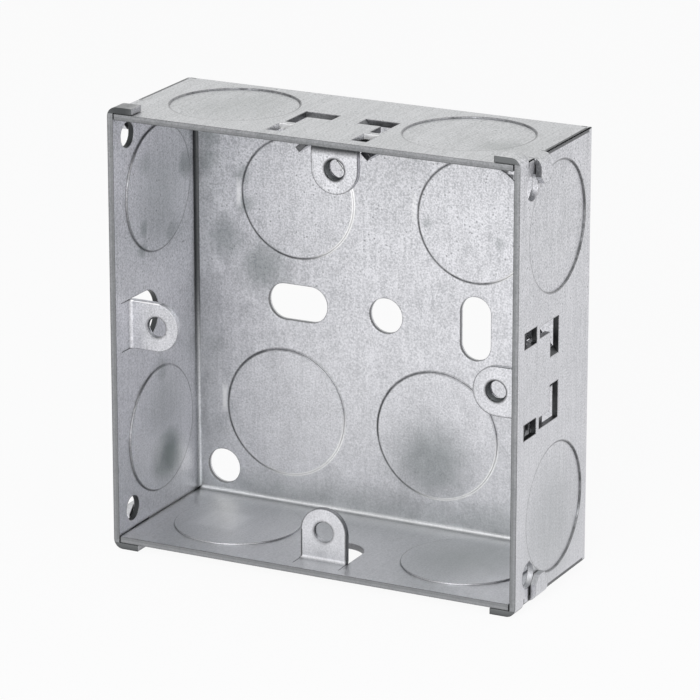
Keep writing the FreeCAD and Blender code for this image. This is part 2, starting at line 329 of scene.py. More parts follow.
def round_patch(tree, place, centre, radius, even=None):
    """One near a point in millimetres, even up to one radius, then fading to nought at another.

    With no even radius, the fading starts close to the point.
    """
    reach = add_node(
        tree, "ShaderNodeVectorMath",
        {"operation": "DISTANCE", 1: [value * MM for value in centre]}, i0=place)
    return add_node(
        tree, "ShaderNodeMapRange",
        {"interpolation_type": "SMOOTHSTEP", "From Min": (even or 0.1 * radius) * MM,
         "From Max": radius * MM, "To Min": 1.0, "To Max": 0.0},
        Value=reach.outputs["Value"]).outputs["Result"]


def patches(tree, place, rows):
    """A mask and its strength for each row of point, radius and strength."""
    return [(round_patch(tree, place, centre, radius), strength)
            for centre, radius, strength in rows]


# How much wider the line round a disc is on the back plate than on a wall.
BACK_LINE = 1.35

# Where a knock-out's line of painted shade is full and where it ends, in its own widths, and its
# strength on its least shaded side.
LINE_FULL, LINE_END = 0.3, 0.75
LEAST_SHADE = 0.3

# Where the painted glint on a disc's lit side begins and is full, in the disc's radius.
GLINT_START, GLINT_FULL = 0.45, 0.85


def knockout_lines(place, folded, discs):
    """A row for each sheared line.

    A row has the coordinates that it is drawn in, its centre, the axes of its plane, its radius,
    the direction and the distance that tell where its sheet lies, its width, the direction in which
    its painted shade is darkest, and the direction of its painted glint. A wall's row stands for a
    pair of discs, because its coordinates have lost their sign.
    """
    level, upright, facing = (1, 1, 0), (0, 1, 1), (1, 0, 1)
    wall, depth, radius = discs.wall_plane, discs.wall_depth, discs.wall_radius
    # Where the painted shade is darkest and, for the back plate, where the painted glint sits.
    rear, even = (0, -0.9, 0), (0, 0, 0)
    upper_sides = (-0.85, 0, -0.45), (0.95, 0, -0.25)
    lower_sides = (-0.95, 0, 0.25), (0.6, 0, -0.8)
    rows = [
        (folded, (discs.level_offset, depth, 0), level, radius, (0, 0, 1), wall, 1, rear, None),
        (folded, (0, depth, discs.left_offset), upright, radius, (-1, 0, 0), wall, 1, even, None),
        (folded, (0, depth, discs.right_offset), upright, radius, (1, 0, 0), wall, 1, rear, None),
    ]
    back_discs = [
        (-discs.upper_offset, discs.upper_rise, discs.upper_radius, upper_sides),
        (discs.upper_offset, discs.upper_rise, discs.upper_radius, upper_sides),
        (-discs.lower_left, -discs.lower_drop, discs.lower_radius, lower_sides),
        (discs.lower_right, -discs.lower_drop, discs.lower_radius, lower_sides),
    ]
    back = -discs.back_plane
    for x, z, radius, sides in back_discs:
        rows.append((place, (x, 0, z), facing, radius, (0, 1, 0), back, BACK_LINE, *sides))
    return rows


def knockout_shade_lines(tree, place, folded, finish, discs):
    """Painted shade along each knock-out's edge, darker on a given side, and a painted glint where
    given.
    """
    masks, glints = [], []
    rows = knockout_lines(place, folded, discs)
    for start, centre, axes, radius, outwards, plane, wide, shaded_side, lit_side in rows:
        width = wide * finish.line_width
        offset = add_node(
            tree, "ShaderNodeVectorMath", {"operation": "SUBTRACT", 1: centre}, i0=start)
        flat = add_node(
            tree, "ShaderNodeVectorMath", {"operation": "MULTIPLY", 1: axes},
            i0=offset.outputs["Vector"]).outputs["Vector"]
        reach = add_node(tree, "ShaderNodeVectorMath", {"operation": "LENGTH"}, i0=flat)
        beside = add_node(
            tree, "ShaderNodeMath", {"operation": "SUBTRACT", 1: radius},
            i0=reach.outputs["Value"])
        away = add_node(
            tree, "ShaderNodeMath", {"operation": "ABSOLUTE"}, i0=beside.outputs["Value"])
        line = add_node(
            tree, "ShaderNodeMapRange",
            {"From Min": LINE_FULL * width, "From Max": LINE_END * width,
             "To Min": 1.0, "To Max": 0.0},
            Value=away.outputs["Value"]).outputs["Result"]
        # Painted shade, darker towards one side of the disc.
        side = add_node(
            tree, "ShaderNodeVectorMath", {"operation": "DOT_PRODUCT", 1: shaded_side}, i0=flat)
        side_shade = add_node(
            tree, "ShaderNodeMapRange",
            {"From Min": -radius, "From Max": radius, "To Min": LEAST_SHADE, "To Max": 1.0},
            Value=side.outputs["Value"])
        height = add_node(
            tree, "ShaderNodeVectorMath", {"operation": "DOT_PRODUCT", 1: outwards}, i0=place)
        there = add_node(
            tree, "ShaderNodeMath", {"operation": "GREATER_THAN", 1: plane},
            i0=height.outputs["Value"]).outputs["Value"]
        shown = add_node(
            tree, "ShaderNodeMath", {"operation": "MULTIPLY"}, i0=side_shade.outputs["Result"],
            i1=there)
        drawn = add_node(
            tree, "ShaderNodeMath", {"operation": "MULTIPLY"}, i0=line,
            i1=shown.outputs["Value"])
        masks.append((drawn.outputs["Value"], 1.0))
        # A painted glint on the disc's other side.
        if lit_side:
            toward_lit = add_node(
                tree, "ShaderNodeVectorMath", {"operation": "DOT_PRODUCT", 1: lit_side}, i0=flat)
            lit = add_node(
                tree, "ShaderNodeMapRange",
                {"From Min": GLINT_START * radius, "From Max": GLINT_FULL * radius},
                Value=toward_lit.outputs["Value"])
            seen = add_node(
                tree, "ShaderNodeMath", {"operation": "MULTIPLY"}, i0=lit.outputs["Result"],
                i1=there)
            glint = add_node(
                tree, "ShaderNodeMath", {"operation": "MULTIPLY"}, i0=line,
                i1=seen.outputs["Value"])
            glints.append((glint.outputs["Value"], 1.0))
    return largest(tree, masks), largest(tree, glints)


# Soft dark patches inside the box: place in millimetres, radius and strength.
DARK_PATCHES = (
    # The back plate.
    ((-30.0, -1, 9.5), 6.0, 0.5),
    ((-22.5, -1, 5.5), 6.5, 0.55),
    ((-33.0, -1, 27.0), 4.0, 0.5),
    ((-33.0, -1, 22.5), 4.0, 0.45),
    ((-26.0, -1, 21.0), 2.6, 0.45),
    ((-25.6, -1, 15.5), 2.4, 0.45),
    ((8.5, -1, -23.5), 10.0, 0.55),
    ((-33.0, -1, -9.0), 5.0, 0.3),
    ((20.5, -1, 15.0), 1.5, 0.35),
    ((7.5, -1, 16.5), 1.6, 0.4),
    # The left wall.
    ((-35, -11.5, -25.5), 7.0, 0.9),
    ((-35, -13, -17.0), 10.0, 0.3),
    ((-35, -13, 20.0), 13.0, 0.35),
    ((-35, -5, 22.0), 4.0, 0.55),
    ((-35, -18, 25.0), 4.0, 0.4),
    ((-35, -19, 15.0), 2.6, 0.5),
    ((-35, -19.3, 11.8), 2.2, 0.45),
    ((-35, -10, 12.5), 3.0, 0.35),
    ((-35, -13.5, -11.0), 3.5, 0.4),
    # The lower wall.
    ((22.0, -12, -35), 13.0, 0.4),
)

# The same on the outside of the top and right walls.
OUTER_PATCHES = (
    ((28.0, -18, 36), 6.0, 0.3),
    ((-21.0, -13, 36), 13.0, 0.2),
    ((36, -14, -26.0), 15.0, 0.25),
)

# How broad the ripples in a dark patch's outline are and how far they move it, in millimetres.
PATCH_RIPPLE = 4
PATCH_WANDER = 3

# Screw holes in the fixed lugs and in the sliding ones: the middle of each in millimetres. A ring
# of painted shade round each ends at the first radius and is even up to the second.
FIXED_HOLES = ((-30.15, -23.4, 0), (0, -23.4, -30.15))
SLIDING_HOLES = ((2, -23.4, 30.15), (30.15, -23.4, -2))
SHADE_RING = (2.2, 1.8)
FIXED_RING, SLIDING_RING = 0.4, 0.7

# The boxes below are two corners in millimetres, the width of the border along X, Y and Z, and
# the strength.
SHARP = (0.03, 0.03, 0.03)

# All faces that look into the box.
INNER = ((-35.05, -27.9, -35.05), (35.05, -0.95, 35.05), SHARP)

# Painted shade in bands beside the lower and left folds of the back plate.
FOLD_SHADE_BANDS = (
    ((-36, -1.3, -36), (36, -0.9, -33.5), (1, 0.3, 6), 0.4),
    ((-36, -1.3, -36), (-34, -0.9, 36), (6, 0.3, 1), 0.25),
)

# Rims of sheared steel, their torn inner half duller still, and the front faces of the corner
# tabs. Each coordinate's sign is dropped.
RIMS = (
    ((-1, 27.94, -1), (40, 29, 40), SHARP, 0.72),
    ((-1, 27.94, -1), (35.5, 29, 35.5), SHARP, 0.82),
    ((-1, 27.94, 36.06), (40, 29, 40), SHARP, 1.0),
)

# Painted shade on hole walls in the back plate, in corner seams and on the lap tabs' inner
# faces. Each coordinate's sign is dropped.
SHADED_GAPS = (
    ((-1, 0.34, -1), (33.9, 0.93, 33.9), SHARP, 0.75),
    ((35.45, 2.2, 35.45), (36.05, 17.8, 36.05), (0.15, 0.15, 0.15), 0.8),
    ((36.05, 17.0, 30.0), (36.15, 24.0, 35.5), SHARP, 0.85),
)

# Other places with painted shade.
SHADED_PLACES = (
    # The gap before the lower right lap tab.
    ((35.9, -23.25, -37.2), (36.06, -22.65, -29.5), (0.05, 0.15, 0.5), 0.9),
    # The far edge of the back plate's upper right disc.
    ((19.4, -1.1, 27.2), (20.4, -0.5, 27.5), (0.4, 0.05, 0.25), 0.75),
    ((20.5, -1.1, 26.6), (21.4, -0.5, 27.0), (0.4, 0.05, 0.25), 0.8),
    ((21.5, -1.1, 25.9), (22.4, -0.5, 26.4), (0.4, 0.05, 0.25), 0.8),
    # Corner hole walls on the left.
    ((-35.94, -25.8, 29.0), (-35.06, -21.0, 33.9), SHARP, 0.97),
    ((-35.94, -25.8, -33.9), (-35.06, -21.0, -29.0), SHARP, 0.97),
    # The upper lap tabs' front faces.
    ((36.15, -22.7, 30.0), (37.2, -22.55, 37.2), SHARP, 0.8),
    ((-37.2, -22.7, 30.0), (-36.15, -22.55, 37.2), SHARP, 0.8),
    # The folds between the back plate and the side walls.
    ((-35.3, -1.7, 6), (-34.45, -1.0, 36), (0.15, 0.12, 28), 0.9),
    ((34.45, -1.7, 6), (35.3, -1.0, 36), (0.15, 0.12, 28), 0.9),
    # The hammered tab at the upper left corner.
    ((-34.5, -27.9, 36.05), (-33.0, -25.5, 37.5), (2.5, 1.5, 0.1), 0.6),
    # The walls of both lug windows.
    ((-35.94, -22.2, -4.5), (-35.06, -13, 4.5), SHARP, 0.95),
    ((-4.5, -22.2, -35.94), (4.5, -13, -35.06), SHARP, 0.7),
    # The lower lug's sides.
    ((-4.3, -23.5, -35.0), (-3.8, -22.3, -30.15), SHARP, 0.8),
    ((3.85, -23.5, -35.0), (4.3, -22.3, -30.15), SHARP, 0.75),
)

# The lower lug's round end: its box, the middle of its curve, the radii at which its outline of
# painted shade is full and begins, and the outline's strength.
ROUND_END = ((-4.3, -23.5, -30.15), (4.3, -22.3, -25.9), SHARP)
ROUND_END_MIDDLE = (0, -22.9, -30.15)
ROUND_END_OUTLINE = (4.0, 3.8)
ROUND_END_STRENGTH = 0.75

# The lanced guides and their cut-outs in the top and right walls, with painted shade where they
# don't look inwards.
GUIDES = (
    ((28, -26, -12), (34.94, -12.5, 12), SHARP, 0.9),
    ((35.06, -26, -12), (35.92, -12.5, 12), SHARP, 0.9),
    ((-12, -26, 28), (12, -12.5, 34.94), SHARP, 0.85),
    ((-9, -20.3, 34.94), (9, -12.5, 35.93), SHARP, 0.75),
)

# The bends and feet of the sliding lugs, with painted shade where they don't look inwards.
BENDS = (
    ((-12, -26, 33.5), (12, -12, 36), (0.3, 0.3, 1.3), 0.95),
    ((33.4, -26, -12), (36, -12, 12), (0.3, 0.3, 0.3), 0.7),
)

# A face looks inwards when its normal leans further than this against the way out of the box.
LOOKS_INWARDS = -0.4

# Painted highlights on cut ends in the top wall and on the upper edge of the left lug.
PAINTED_GLINTS = (
    ((-9, -21.1, 35.05), (9, -20.85, 35.95), SHARP, 1.0),
    ((-35.0, -23.5, 3.85), (-29.5, -22.3, 4.2), SHARP, 0.9),
)

# Painted sheen inside the box: beside the lower fold, one on the lower wall's left disc, and on
# the lips left of three discs in the back plate.
PAINTED_SHEEN = (
    ((-34, -2.6, -35.2), (34, -1.05, -34.3), (1, 3.5, 0.2), 0.3),
    ((-24.5, -15, -35.1), (-22.5, -13, -34.9), (4, 4, 0.3), 0.35),
    ((-27.1, -1.1, 16.4), (-26.8, -0.9, 18.6), (0.5, 0.1, 2), 0.6),
    ((-30.0, -1.1, -19.3), (-29.7, -0.9, -17.3), (0.5, 0.1, 2), 0.7),
    ((4.9, -1.1, 17.8), (5.2, -0.9, 20.0), (0.5, 0.1, 2), 0.3),
)

# How bright the painted glints on the discs' lit sides are.
GLINT_STRENGTH = 0.95

# The zinc's pattern: clouds beside mottle, rolling grain beside speckle, and the first pair beside
# the second. Their sum lies round the mean, which takes the mean tone between dull and bright.
CLOUD_SHARE, GRAIN_SHARE, SOFT_SHARE = 0.5, 0.3, 0.4
PATTERN_MEAN, TONE_MEAN = 0.94, 0.55

# The pattern is stronger towards the top of the box: half its height in millimetres.
HALF_HEIGHT = 36


def zinc_pattern(tree, place, sideways, finish):
    """The zinc's colour, with its mottle and its finest marks for roughness and relief."""
    cloud = add_node(
        tree, "ShaderNodeTexNoise",
        {"Scale": 1 / finish.cloud_size, "Detail": 3.0, "Roughness": 0.55},
        Vector=place).outputs["Fac"]
    mottle = add_node(
        tree, "ShaderNodeTexNoise",
        {"Scale": 1 / finish.mottle_size, "Detail": 4.0, "Roughness": 0.6},
        Vector=place).outputs["Fac"]
    # The real zinc grain is finer; it is drawn more than one picture dot wide so that it shows.
    speckle = add_node(
        tree, "ShaderNodeTexNoise",
        {"Scale": 1 / finish.speckle_size, "Detail": 1.0, "Roughness": 0.7},
        Vector=place).outputs["Fac"]
    across, along = 1 / finish.grain_width, 1 / finish.grain_length
    streaks = []
    for stretch in ((across, along, along), (along, across, along)):
        stretched = add_node(
            tree, "ShaderNodeVectorMath", {"operation": "MULTIPLY", 1: stretch}, i0=place)
        streaks.append(add_node(
            tree, "ShaderNodeTexNoise", {"Scale": 1.0, "Detail": 3.0},
            Vector=stretched.outputs["Vector"]).outputs["Fac"])
    turned = add_node(tree, "ShaderNodeMath", {"operation": "ABSOLUTE"}, i0=sideways)
    grain = add_node(
        tree, "ShaderNodeMix", {"data_type": "FLOAT"}, i0=turned.outputs["Value"],
        i2=streaks[0], i3=streaks[1]).outputs[0]
    soft = add_node(
        tree, "ShaderNodeMath", {"operation": "MULTIPLY_ADD", 1: CLOUD_SHARE}, i0=cloud,
        i2=mottle).outputs["Value"]
    fine = add_node(
        tree, "ShaderNodeMath", {"operation": "MULTIPLY_ADD", 1: GRAIN_SHARE}, i0=grain,
        i2=speckle).outputs["Value"]
    total = add_node(
        tree, "ShaderNodeMath", {"operation": "MULTIPLY_ADD", 1: SOFT_SHARE}, i0=soft, i2=fine)
    around = add_node(
        tree, "ShaderNodeMath", {"operation": "SUBTRACT", 1: PATTERN_MEAN},
        i0=total.outputs["Value"])
    height = add_node(tree, "ShaderNodeSeparateXYZ", Vector=place)
    contrast = add_node(
        tree, "ShaderNodeMapRange",
        {"From Min": -HALF_HEIGHT * MM, "From Max": HALF_HEIGHT * MM,
         "To Min": 1.2, "To Max": 3.0},
        Value=height.outputs["Z"])
    tone = add_node(
        tree, "ShaderNodeMath", {"operation": "MULTIPLY_ADD", 2: TONE_MEAN, "use_clamp": True},
        i0=around.outputs["Value"], i1=contrast.outputs["Result"])
    colour = add_node(
        tree, "ShaderNodeMix",
        {"data_type": "RGBA", 6: (*finish.dull, 1), 7: (*finish.pale, 1)},
        i0=tone.outputs["Value"]).outputs[2]
    return colour, mottle, fine


def dark_flecks(tree, place, mottle, finish):
    """Small dark specks that gather in the mottle, most of them in the upper half."""
    specks = add_node(
        tree, "ShaderNodeTexVoronoi", {"Scale": 1 / finish.fleck_size, "Randomness": 1.0},
        Vector=place)
    close = add_node(
        tree, "ShaderNodeMapRange",
        {"From Min": 0.08, "From Max": 0.28, "To Min": 0.75, "To Max": 0.0},
        Value=specks.outputs["Distance"])
    some = add_node(
        tree, "ShaderNodeMapRange", {"From Min": 0.5, "From Max": 0.6}, Value=mottle)
    height = add_node(tree, "ShaderNodeSeparateXYZ", Vector=place)
    high = add_node(
        tree, "ShaderNodeMapRange",
        {"From Min": -8 * MM, "From Max": 12 * MM, "To Min": 0.25, "To Max": 1.0},
        Value=height.outputs["Z"])
    thick = add_node(
        tree, "ShaderNodeMath", {"operation": "MULTIPLY"}, i0=some.outputs["Result"],
        i1=high.outputs["Result"])
    return add_node(
        tree, "ShaderNodeMath", {"operation": "MULTIPLY"}, i0=close.outputs["Result"],
        i1=thick.outputs["Value"]).outputs["Value"]


def sharp_edge_mask(tree, width, samples, full, strength):
    """A mask along sharp edges, and the slightly rounded normal that it is found from."""
    rounded = add_node(
        tree, "ShaderNodeBevel", {"samples": samples, "Radius": width}).outputs["Normal"]
    flat = add_node(tree, "ShaderNodeNewGeometry").outputs["Normal"]
    square = add_node(
        tree, "ShaderNodeVectorMath", {"operation": "DOT_PRODUCT"}, i0=rounded, i1=flat)
    edge = add_node(
        tree, "ShaderNodeMapRange", {"From Min": 0.99, "From Max": full, "To Max": strength},
        Value=square.outputs["Value"])
    return edge.outputs["Result"], rounded


def guide_shade(tree, place, normal, rows):
    """Painted shade on the guides or on the feet that slide in them, on faces that don't look
    inwards.
    """
    level = add_node(
        tree, "ShaderNodeVectorMath", {"operation": "MULTIPLY", 1: (1, 0, 1)}, i0=place)
    outwards = add_node(
        tree, "ShaderNodeVectorMath", {"operation": "NORMALIZE"}, i0=level.outputs["Vector"])
    turned = add_node(
        tree, "ShaderNodeVectorMath", {"operation": "DOT_PRODUCT"},
        i0=outwards.outputs["Vector"], i1=normal)
    away = add_node(
        tree, "ShaderNodeMath", {"operation": "GREATER_THAN", 1: LOOKS_INWARDS},
        i0=turned.outputs["Value"])
    return add_node(
        tree, "ShaderNodeMath", {"operation": "MULTIPLY"}, i0=largest(tree, boxed(tree, place, rows)),
        i1=away.outputs["Value"]).outputs["Value"]


def box_marks(tree, place, mottle, finish, discs):
    """The box's darker patches with painted shade by its folds, bare rims, painted shade and
    highlights.
    """
    ripple = add_node(
        tree, "ShaderNodeTexNoise", {"Scale": 1 / (PATCH_RIPPLE * MM), "Detail": 3.0},
        Vector=place)
    wander = add_node(
        tree, "ShaderNodeVectorMath",
        {"operation": "MULTIPLY_ADD", 1: [PATCH_WANDER * MM] * 3},
        i0=ripple.outputs["Color"], i2=place)
    shifted = add_node(
        tree, "ShaderNodeVectorMath", {"operation": "SUBTRACT", 1: [PATCH_WANDER / 2 * MM] * 3},
        i0=wander.outputs["Vector"]).outputs["Vector"]
    folded = add_node(
        tree, "ShaderNodeVectorMath", {"operation": "ABSOLUTE"}, i0=place).outputs["Vector"]
    inner = inside_box(tree, place, *INNER)
    # Darker patches, and painted shade beside the folds.
    inside = largest(tree, patches(tree, shifted, DARK_PATCHES) + boxed(tree, place, FOLD_SHADE_BANDS))
    hidden = add_node(tree, "ShaderNodeMath", {"operation": "MULTIPLY"}, i0=inside, i1=inner)
    patches_and_shade = patches(tree, shifted, OUTER_PATCHES) + [(hidden.outputs["Value"], 1.0)]
    rims = boxed(tree, folded, RIMS)
    # Painted shade round the knock-outs, and painted glints on them.
    lines, glints = knockout_shade_lines(tree, place, folded, finish, discs)
    patchy = add_node(
        tree, "ShaderNodeMapRange",
        {"From Min": 0.35, "From Max": 0.6, "To Min": 0.55, "To Max": 0.9}, Value=mottle)
    drawn = add_node(
        tree, "ShaderNodeMath", {"operation": "MULTIPLY"}, i0=lines, i1=patchy.outputs["Result"])
    middle = round_patch(tree, place, ROUND_END_MIDDLE, *ROUND_END_OUTLINE)
    outline = add_node(
        tree, "ShaderNodeMath", {"operation": "SUBTRACT", "use_clamp": True},
        i0=inside_box(tree, place, *ROUND_END), i1=middle)
    # Painted shade in gaps, holes, folds and round the lower lug's end.
    shade = boxed(tree, folded, SHADED_GAPS) + boxed(tree, place, SHADED_PLACES)
    shade += [(drawn.outputs["Value"], 1.0), (outline.outputs["Value"], ROUND_END_STRENGTH)]
    # Painted sheen inside the box, then painted highlights on cut ends and knock-outs.
    sheen = largest(tree, boxed(tree, place, PAINTED_SHEEN))
    painted_light = add_node(tree, "ShaderNodeMath", {"operation": "MULTIPLY"}, i0=sheen, i1=inner)
    highlights = boxed(tree, place, PAINTED_GLINTS)
    highlights += [(glints, GLINT_STRENGTH), (painted_light.outputs["Value"], 1.0)]
    return largest(tree, patches_and_shade), largest(tree, rims), shade, largest(tree, highlights)


def galvanised_steel(name, finish, edge_width, edge_strength, discs=None):
    """Pre-galvanised steel, rolled and then pressed.

    The zinc is bright but not polished: a cloudy grey with a fine speckle and dark flecks, faint
    streaks along the rolling direction, darker patches, grey sheared rims, and painted shade along
    edges and in lines, folds and slots. Given the discs, it has the box's own marks and painted
    highlights, and otherwise the lugs'.
    """
    material, tree = new_material(name)
    place = add_node(tree, "ShaderNodeTexCoord").outputs["Object"]
    normal = add_node(tree, "ShaderNodeNewGeometry").outputs["True Normal"]
    facing = add_node(tree, "ShaderNodeSeparateXYZ", Vector=normal)
    colour, mottle, fine = zinc_pattern(tree, place, facing.outputs["X"], finish)
    settled = add_node(
        tree, "ShaderNodeMapRange", {"From Min": 0.3, "From Max": 1.0, "To Max": 0.26},
        Value=facing.outputs["Z"])
    # Painted shade along sharp edges.
    edge, rounded = sharp_edge_mask(tree, edge_width, 6, 0.8, edge_strength)
    # Painted shade in folds, slots and recesses, from ambient occlusion.
    open_sky = add_node(
        tree, "ShaderNodeAmbientOcclusion", {"samples": 8, "Distance": finish.shade_reach})
    cavity_shade = add_node(
        tree, "ShaderNodeMapRange", {"From Min": 0.75, "From Max": 0.3, "To Max": 0.85},
        Value=open_sky.outputs["AO"])
    # Painted shade on the guides, or on the lugs' bends and feet.
    shade = guide_shade(tree, place, normal, GUIDES if discs else BENDS)
    holes, ring = (FIXED_HOLES, FIXED_RING) if discs else (SLIDING_HOLES, SLIDING_RING)
    # Painted shade along edges, in cavities, on guides or bends, and round the screw holes.
    painted_shade = [(edge, 1.0), (cavity_shade.outputs["Result"], 1.0), (shade, 1.0)]
    painted_shade += [(round_patch(tree, place, hole, *SHADE_RING), ring) for hole in holes]
    layers = [
        (finish.dust, settled.outputs["Result"]),
        (finish.fleck, dark_flecks(tree, place, mottle, finish)),
    ]
    if discs:
        patches_and_shade, rims, more_shade, highlights = box_marks(tree, place, mottle, finish, discs)
        layers = [(finish.patch_and_shade, patches_and_shade), *layers, (finish.bare, rims)]
        # Painted shade, then painted highlights.
        layers.append((finish.shade_tone, largest(tree, painted_shade + more_shade)))
        layers.append((finish.highlight_colour, highlights))
    else:
        layers.append((finish.shade_tone, largest(tree, painted_shade)))
    for tint, share in layers:
        colour = add_node(
            tree, "ShaderNodeMix", {"data_type": "RGBA", 7: (*tint, 1)}, i0=share,
            i6=colour).outputs[2]
    roughness = add_node(
        tree, "ShaderNodeMapRange",
        {"From Min": 0.3, "From Max": 0.7, "To Min": 0.36, "To Max": 0.5}, Value=mottle)
    bump = add_node(
        tree, "ShaderNodeBump", {"Strength": 0.35, "Distance": 0.05 * MM}, Height=fine,
        Normal=rounded)
    surface = add_node(
        tree, "ShaderNodeBsdfPrincipled", {"Metallic": 1.0}, Base_Color=colour,
        Roughness=roughness.outputs["Result"], Normal=bump.outputs["Normal"])
    add_node(tree, "ShaderNodeOutputMaterial", Surface=surface.outputs["BSDF"])
    return material


# Width of the painted highlight along a thread's crest, in the width of the box's dark edge lines.
CREST_WIDTH = 0.3


def shaded_thread_steel(finish):
    """Bare steel cut by a tap, darkened all over as painted shade, with a painted highlight on the
    crests.
    """
    material, tree = new_material("Tapped steel thread")
    place = add_node(tree, "ShaderNodeTexCoord").outputs["Object"]
    marks = add_node(
        tree, "ShaderNodeTexNoise", {"Scale": 1 / finish.speckle_size, "Detail": 3.0},
        Vector=place).outputs["Fac"]
    # A painted highlight along the crests, over a thread darkened all over as painted shade.
    crest, rounded = sharp_edge_mask(tree, CREST_WIDTH * finish.edge_width, 4, 0.85, 0.35)
    thread_shade = add_node(
        tree, "ShaderNodeMix",
        {"data_type": "RGBA", 6: (*finish.shade_tone, 1), 7: (*finish.fleck, 1)}, i0=marks)
    colour = add_node(
        tree, "ShaderNodeMix", {"data_type": "RGBA", 7: (*finish.pale, 1)}, i0=crest,
        i6=thread_shade.outputs[2])
    roughness = add_node(
        tree, "ShaderNodeMapRange", {"To Min": 0.3, "To Max": 0.5}, Value=marks)
    surface = add_node(
        tree, "ShaderNodeBsdfPrincipled", {"Metallic": 1.0}, Base_Color=colour.outputs[2],
        Roughness=roughness.outputs["Result"], Normal=rounded)
    add_node(tree, "ShaderNodeOutputMaterial", Surface=surface.outputs["BSDF"])
    return material


def dress(node, material):
    """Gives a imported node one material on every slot."""
    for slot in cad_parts[node].material_slots:
        slot.material = material


class BACKBOX_OT_box_body(bpy.types.Operator):
    """Finishes the folded box in galvanised sheet."""

    bl_idname = "backbox.box_body"
    bl_label = "Box body"

    def execute(self, context):
        finish = context.scene.backbox_finish
        sheet = galvanised_steel(
            "Pre-galvanised steel sheet", finish, finish.edge_width, finish.edge_strength,
            context.scene.backbox_knockouts)
        dress("box_body", sheet)
        return {"FINISHED"}


class BACKBOX_OT_sliding_lugs(bpy.types.Operator):
    """Finishes both sliding lugs in galvanised strip."""

    bl_idname = "backbox.sliding_lugs"
    bl_label = "Sliding lugs"

    def execute(self, context):
        finish = context.scene.backbox_finish
        strip = galvanised_steel(
            "Pre-galvanised steel strip", finish, finish.lug_edge_width, finish.lug_edge_strength)
        for node in ("top_adjustable_lug", "right_adjustable_lug"):
            dress(node, strip)
        return {"FINISHED"}


# A thread's steps in one turn; how far its root lies in the hole's wall and half the width of its
# ridge, in pitches; and the share of the ridge that is left at its two ends.
THREAD_STEPS = 28
ROOT_SINK, HALF_RIDGE = 0.05, 0.44
LEAST_RIDGE = 0.02


def screw_thread(name, x, z, length, sizes):
    """A helical ridge on the wall of a screw hole that runs back from the lug's front face."""
    stations = int(THREAD_STEPS * (length / sizes.pitch - 1))
    root = sizes.bore + ROOT_SINK * sizes.pitch
    half = HALF_RIDGE * sizes.pitch
    shape = bmesh.new()
    previous = None
    for station in range(stations + 1):
        turns = station / THREAD_STEPS
        angle = 2 * math.pi * turns
        depth = half + sizes.pitch * turns
        # The ridge rises over the first half turn and falls over the last.
        run_out = min(1, 2 * turns, 2 * (stations - station) / THREAD_STEPS)
        crest = root + (sizes.crest - root) * max(run_out, LEAST_RIDGE)
        ring = []
        for radius, along in ((root, -half), (crest, 0), (root, half)):
            y = -sizes.lug_front + depth + along
            corner = (x + radius * math.cos(angle), y, z + radius * math.sin(angle))
            ring.append(shape.verts.new(corner))
        if previous:
            for side in range(3):
                following = (side + 1) % 3
                shape.faces.new(
                    (previous[side], previous[following], ring[following], ring[side]))
        else:
            shape.faces.new(ring)
        previous = ring
    shape.faces.new(reversed(previous))
    bmesh.ops.recalc_face_normals(shape, faces=shape.faces)
    mesh = bpy.data.meshes.new(name)
    shape.to_mesh(mesh)
    shape.free()
    piece = bpy.data.objects.new(name, mesh)
    bpy.context.scene.collection.objects.link(piece)
    return piece


class BACKBOX_OT_screw_threads(bpy.types.Operator):
    """Cuts the screw threads in the holes of all four lugs."""

    bl_idname = "backbox.screw_threads"
    bl_label = "Screw threads"

    def execute(self, context):
        sizes = context.scene.backbox_thread
        steel = shaded_thread_steel(context.scene.backbox_finish)
        screw, thin, deep = sizes.screw_offset, sizes.sheet, sizes.sheet + sizes.collar
        holes = [
            ("left_lug_thread", -screw, 0, thin, "box", "galvanised_sheet"),
            ("bottom_lug_thread", 0, -screw, thin, "box", "galvanised_sheet"),
            ("top_lug_thread", sizes.slide, screw, deep, "top_lug", "galvanised_lug"),
            ("right_lug_thread", screw, -sizes.slide, deep, "right_lug", "galvanised_lug"),
        ]
        for name, x, z, length, body, slot in holes:
            piece = screw_thread(name, x, z, length, sizes)
            piece.data.materials.append(steel)
            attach(piece, body)
        return {"FINISHED"}


def seen_directly(tree):
    """One where the camera, a reflection or a refraction looks, and nought for soft light."""
    path = add_node(tree, "ShaderNodeLightPath")
    either = add_node(
        tree, "ShaderNodeMath", {"operation": "MAXIMUM"}, i0=path.outputs["Is Camera Ray"],
        i1=path.outputs["Is Glossy Ray"])
    return add_node(
        tree, "ShaderNodeMath", {"operation": "MAXIMUM"}, i0=either.outputs["Value"],
        i1=path.outputs["Is Transmission Ray"]).outputs["Value"]


def white_surroundings(strength):
    """A world that looks white and gives a level soft light."""
    world = bpy.data.worlds.new("White studio")
    world.use_nodes = True
    tree = world.node_tree
    tree.nodes.clear()
    light = add_node(
        tree, "ShaderNodeBackground", {"Color": (*to_linear("E8E9EC"), 1), "Strength": strength})
    white = add_node(
        tree, "ShaderNodeBackground", {"Color": (*to_linear("FFFFFF"), 1), "Strength": 1.0})
    choice = add_node(
        tree, "ShaderNodeMixShader", i0=seen_directly(tree), i1=light.outputs["Background"],
        i2=white.outputs["Background"])
    add_node(tree, "ShaderNodeOutputWorld", Surface=choice.outputs["Shader"])
    bpy.context.scene.world = world


